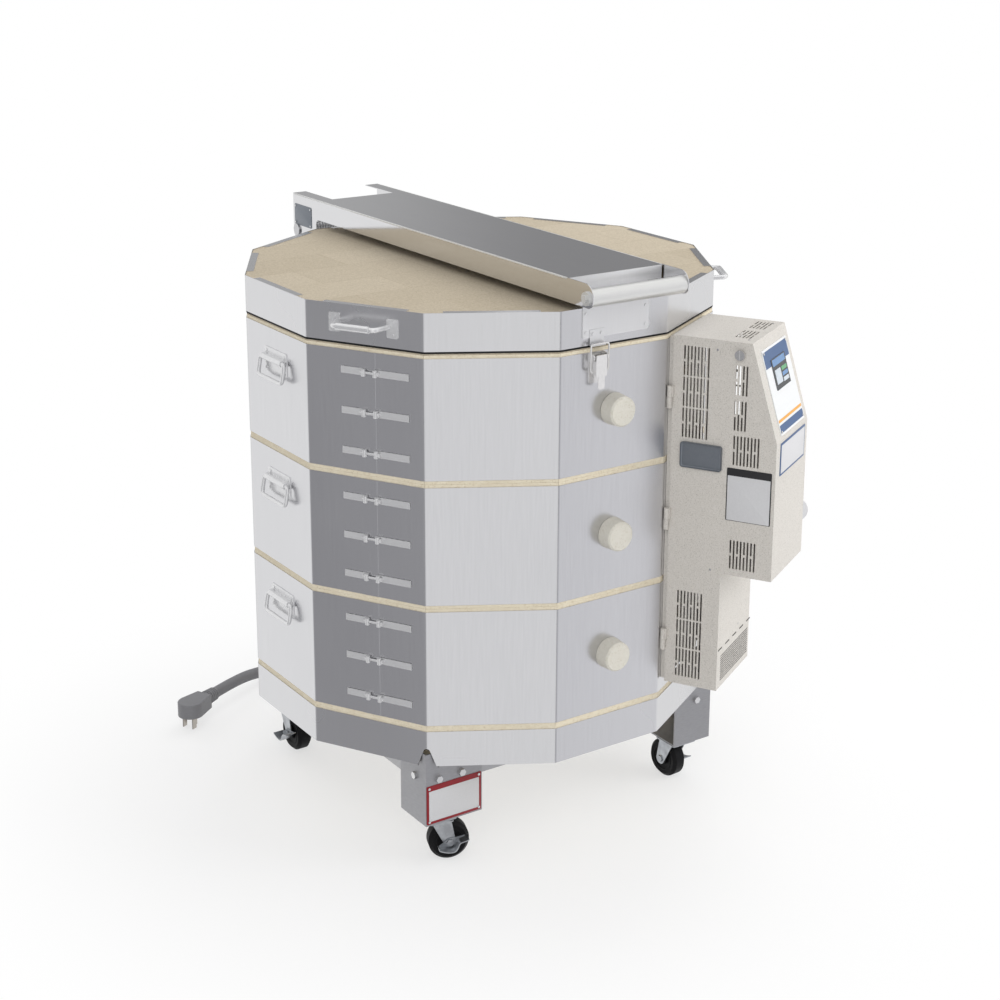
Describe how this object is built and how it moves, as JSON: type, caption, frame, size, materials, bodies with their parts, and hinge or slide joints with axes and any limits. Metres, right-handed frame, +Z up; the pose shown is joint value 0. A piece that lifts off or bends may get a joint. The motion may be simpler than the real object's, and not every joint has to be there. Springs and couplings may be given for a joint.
{
  "type": "electric kiln",
  "caption": "Top-loading sectional electric kiln with a spring-hinged lid, side control case, peephole plugs and a caster stand.",
  "frame": {"origin": "on the ground, under the middle of the kiln's outline without its cord", "axes": "+Z up; the latch and the peephole plugs face -Y, the lid's hinge is at +Y, and +X is to the right of someone who faces the latch"},
  "size_m": [1.0029, 1.2069, 1.0946],
  "materials": {
    "firebrick": "matte",
    "bright_stainless": "satin",
    "polished_stainless": "polished",
    "hinge_steel": "satin",
    "holder_ceramic": "matte",
    "element_wire": "matte",
    "terminal_ceramic": "satin",
    "couple_sheath": "matte",
    "white_ceramic": "satin",
    "stand_grey": "satin",
    "zinc_bolts": "satin",
    "zinc_casters": "satin",
    "caster_tread": "satin",
    "brake_zinc": "satin",
    "handle_steel": "satin",
    "grip_steel": "satin",
    "spring_steel": "satin",
    "case_beige": "satin",
    "pan_beige": "satin",
    "panel_white": "satin",
    "screen_glass": "gloss",
    "electrics_black": "matte",
    "knob_black": "satin",
    "lock_zinc": "satin",
    "gland_black": "matte",
    "cord_grey": "matte",
    "plug_grey": "matte",
    "blade_brass": "satin"
  },
  "bodies": {
    "kiln_body": {"floor_slab": "firebrick", "floor_band": "bright_stainless", "ring_bricks_lower": "firebrick", "ring_bricks_middle": "firebrick", "ring_bricks_upper": "firebrick", "ring_wraps": "bright_stainless", "element_holders": "holder_ceramic", "heating_elements": "element_wire", "terminal_blocks": "terminal_ceramic", "thermocouples": "couple_sheath", "stand_legs": "stand_grey", "stand_rails": "stand_grey", "stand_bolts": "zinc_bolts", "caster_plates": "zinc_casters", "band_clamps": "bright_stainless", "handle_plates": "handle_steel", "hinge_stand": "hinge_steel", "hinge_springs": "spring_steel", "latch_base": "hinge_steel", "back_pan": "pan_beige", "cord_gland": "gland_black", "power_cord": "cord_grey", "power_plug": "plug_grey", "plug_blades": "blade_brass"},
    "lid": {"lid_slab": "firebrick", "lid_band": "bright_stainless", "lid_handles": "grip_steel", "hinge_channel": "polished_stainless", "hinge_tube": "hinge_steel", "front_bracket": "polished_stainless", "spring_arms": "spring_steel"},
    "latch_lever": {"latch_lever": "hinge_steel"},
    "latch_bail": {"latch_bail": "hinge_steel"},
    "case": {"control_case": "case_beige", "control_panel": "panel_white", "touch_screen": "screen_glass", "control_electrics": "electrics_black"},
    "power_knob": {"power_knob": "knob_black"},
    "case_lock": {"case_lock": "lock_zinc"},
    "peephole_plug_lower": {"peephole_plug_lower": "white_ceramic"},
    "peephole_plug_middle": {"peephole_plug_middle": "white_ceramic"},
    "peephole_plug_upper": {"peephole_plug_upper": "white_ceramic"},
    "bail_left_lower": {"bail_left_lower": "handle_steel"},
    "bail_left_middle": {"bail_left_middle": "handle_steel"},
    "bail_left_upper": {"bail_left_upper": "handle_steel"},
    "bail_right_lower": {"bail_right_lower": "handle_steel"},
    "bail_right_middle": {"bail_right_middle": "handle_steel"},
    "bail_right_upper": {"bail_right_upper": "handle_steel"},
    "caster_fork_front_left": {"caster_fork_front_left": "zinc_casters"},
    "caster_wheel_front_left": {"caster_wheel_front_left": "caster_tread"},
    "caster_brake_front_left": {"caster_brake_front_left": "brake_zinc"},
    "caster_fork_front_right": {"caster_fork_front_right": "zinc_casters"},
    "caster_wheel_front_right": {"caster_wheel_front_right": "caster_tread"},
    "caster_brake_front_right": {"caster_brake_front_right": "brake_zinc"},
    "caster_fork_rear_right": {"caster_fork_rear_right": "zinc_casters"},
    "caster_wheel_rear_right": {"caster_wheel_rear_right": "caster_tread"},
    "caster_brake_rear_right": {"caster_brake_rear_right": "brake_zinc"},
    "caster_fork_rear_left": {"caster_fork_rear_left": "zinc_casters"},
    "caster_wheel_rear_left": {"caster_wheel_rear_left": "caster_tread"},
    "caster_brake_rear_left": {"caster_brake_rear_left": "brake_zinc"}
  },
  "joints": [
    {"name": "lid_hinge", "type": "hinge", "parent": "kiln_body", "child": "lid", "pos_m": [0, 0.555, 1.0196], "axis": [-1, 0, 0], "range_deg": [0, 85]},
    {"name": "latch_lever_swing", "type": "hinge", "parent": "kiln_body", "child": "latch_lever", "pos_m": [-0.041, -0.4215, 0.951], "axis": [-1, 0, 0], "range_deg": [0, 110]},
    {"name": "latch_bail_swing", "type": "hinge", "parent": "latch_lever", "child": "latch_bail", "pos_m": [-0.041, -0.423, 0.926], "axis": [-1, 0, 0], "range_deg": [-126.5, 0]},
    {"name": "case_hinge", "type": "hinge", "parent": "kiln_body", "child": "case", "pos_m": [0.12111, -0.41537, 0.624], "axis": [0, 0, -1], "range_deg": [0, 80]},
    {"name": "power_knob_turn", "type": "hinge", "parent": "case", "child": "power_knob", "pos_m": [0.36639, -0.47861, 0.604], "axis": [0.866, 0.5, 0], "range_deg": [0, 90]},
    {"name": "case_lock_turn", "type": "hinge", "parent": "case", "child": "case_lock", "pos_m": [0.18922, -0.52374, 0.944], "axis": [-0.866, -0.5, 0], "range_deg": [0, 90]},
    {"name": "peephole_plug_lower_slide", "type": "slide", "parent": "kiln_body", "child": "peephole_plug_lower", "axis": [0, -1, 0], "range_m": [0, 0.06]},
    {"name": "peephole_plug_middle_slide", "type": "slide", "parent": "kiln_body", "child": "peephole_plug_middle", "axis": [0, -1, 0], "range_m": [0, 0.06]},
    {"name": "peephole_plug_upper_slide", "type": "slide", "parent": "kiln_body", "child": "peephole_plug_upper", "axis": [0, -1, 0], "range_m": [0, 0.06]},
    {"name": "bail_left_lower_swing", "type": "hinge", "parent": "kiln_body", "child": "bail_left_lower", "pos_m": [-0.4395, 0.02, 0.447], "axis": [0, 1, 0], "range_deg": [0, 80]},
    {"name": "bail_left_middle_swing", "type": "hinge", "parent": "kiln_body", "child": "bail_left_middle", "pos_m": [-0.4395, 0.02, 0.6764], "axis": [0, 1, 0], "range_deg": [0, 80]},
    {"name": "bail_left_upper_swing", "type": "hinge", "parent": "kiln_body", "child": "bail_left_upper", "pos_m": [-0.4395, 0.02, 0.9058], "axis": [0, 1, 0], "range_deg": [0, 80]},
    {"name": "bail_right_lower_swing", "type": "hinge", "parent": "kiln_body", "child": "bail_right_lower", "pos_m": [0.4395, 0.02, 0.447], "axis": [0, -1, 0], "range_deg": [0, 80]},
    {"name": "bail_right_middle_swing", "type": "hinge", "parent": "kiln_body", "child": "bail_right_middle", "pos_m": [0.4395, 0.02, 0.6764], "axis": [0, -1, 0], "range_deg": [0, 80]},
    {"name": "bail_right_upper_swing", "type": "hinge", "parent": "kiln_body", "child": "bail_right_upper", "pos_m": [0.4395, 0.02, 0.9058], "axis": [0, -1, 0], "range_deg": [0, 80]},
    {"name": "caster_swivel_front_left", "type": "hinge", "parent": "kiln_body", "child": "caster_fork_front_left", "pos_m": [-0.281, -0.269, 0.08], "axis": [0, 0, 1], "continuous": true},
    {"name": "caster_roll_front_left", "type": "hinge", "parent": "caster_fork_front_left", "child": "caster_wheel_front_left", "pos_m": [-0.26033, -0.27652, 0.0381], "axis": [0.342, 0.9397, 0], "continuous": true},
    {"name": "caster_brake_press_front_left", "type": "hinge", "parent": "caster_fork_front_left", "child": "caster_brake_front_left", "pos_m": [-0.26033, -0.27652, 0.0381], "axis": [0.342, 0.9397, 0], "range_deg": [0, 18]},
    {"name": "caster_swivel_front_right", "type": "hinge", "parent": "kiln_body", "child": "caster_fork_front_right", "pos_m": [0.281, -0.269, 0.08], "axis": [0, 0, 1], "continuous": true},
    {"name": "caster_roll_front_right", "type": "hinge", "parent": "caster_fork_front_right", "child": "caster_wheel_front_right", "pos_m": [0.27947, -0.24705, 0.0381], "axis": [-0.9976, -0.0698, 0], "continuous": true},
    {"name": "caster_brake_press_front_right", "type": "hinge", "parent": "caster_fork_front_right", "child": "caster_brake_front_right", "pos_m": [0.27947, -0.24705, 0.0381], "axis": [-0.9976, -0.0698, 0], "range_deg": [0, 18]},
    {"name": "caster_swivel_rear_right", "type": "hinge", "parent": "kiln_body", "child": "caster_fork_rear_right", "pos_m": [0.286, 0.285, 0.08], "axis": [0, 0, 1], "continuous": true},
    {"name": "caster_roll_rear_right", "type": "hinge", "parent": "caster_fork_rear_right", "child": "caster_wheel_rear_right", "pos_m": [0.26695, 0.296, 0.0381], "axis": [-0.5, -0.866, 0], "continuous": true},
    {"name": "caster_brake_press_rear_right", "type": "hinge", "parent": "caster_fork_rear_right", "child": "caster_brake_rear_right", "pos_m": [0.26695, 0.296, 0.0381], "axis": [-0.5, -0.866, 0], "range_deg": [0, 18]},
    {"name": "caster_swivel_rear_left", "type": "hinge", "parent": "kiln_body", "child": "caster_fork_rear_left", "pos_m": [-0.287, 0.285, 0.08], "axis": [0, 0, 1], "continuous": true},
    {"name": "caster_roll_rear_left", "type": "hinge", "parent": "caster_fork_rear_left", "child": "caster_wheel_rear_left", "pos_m": [-0.28662, 0.263, 0.0381], "axis": [0.9998, 0.0175, 0], "continuous": true},
    {"name": "caster_brake_press_rear_left", "type": "hinge", "parent": "caster_fork_rear_left", "child": "caster_brake_rear_left", "pos_m": [-0.28662, 0.263, 0.0381], "axis": [0.9998, 0.0175, 0], "range_deg": [0, 18]}
  ],
  "couplings": [
    {"joint": "latch_bail_swing", "follows": "latch_lever_swing", "ratio": -1.15}
  ]
}
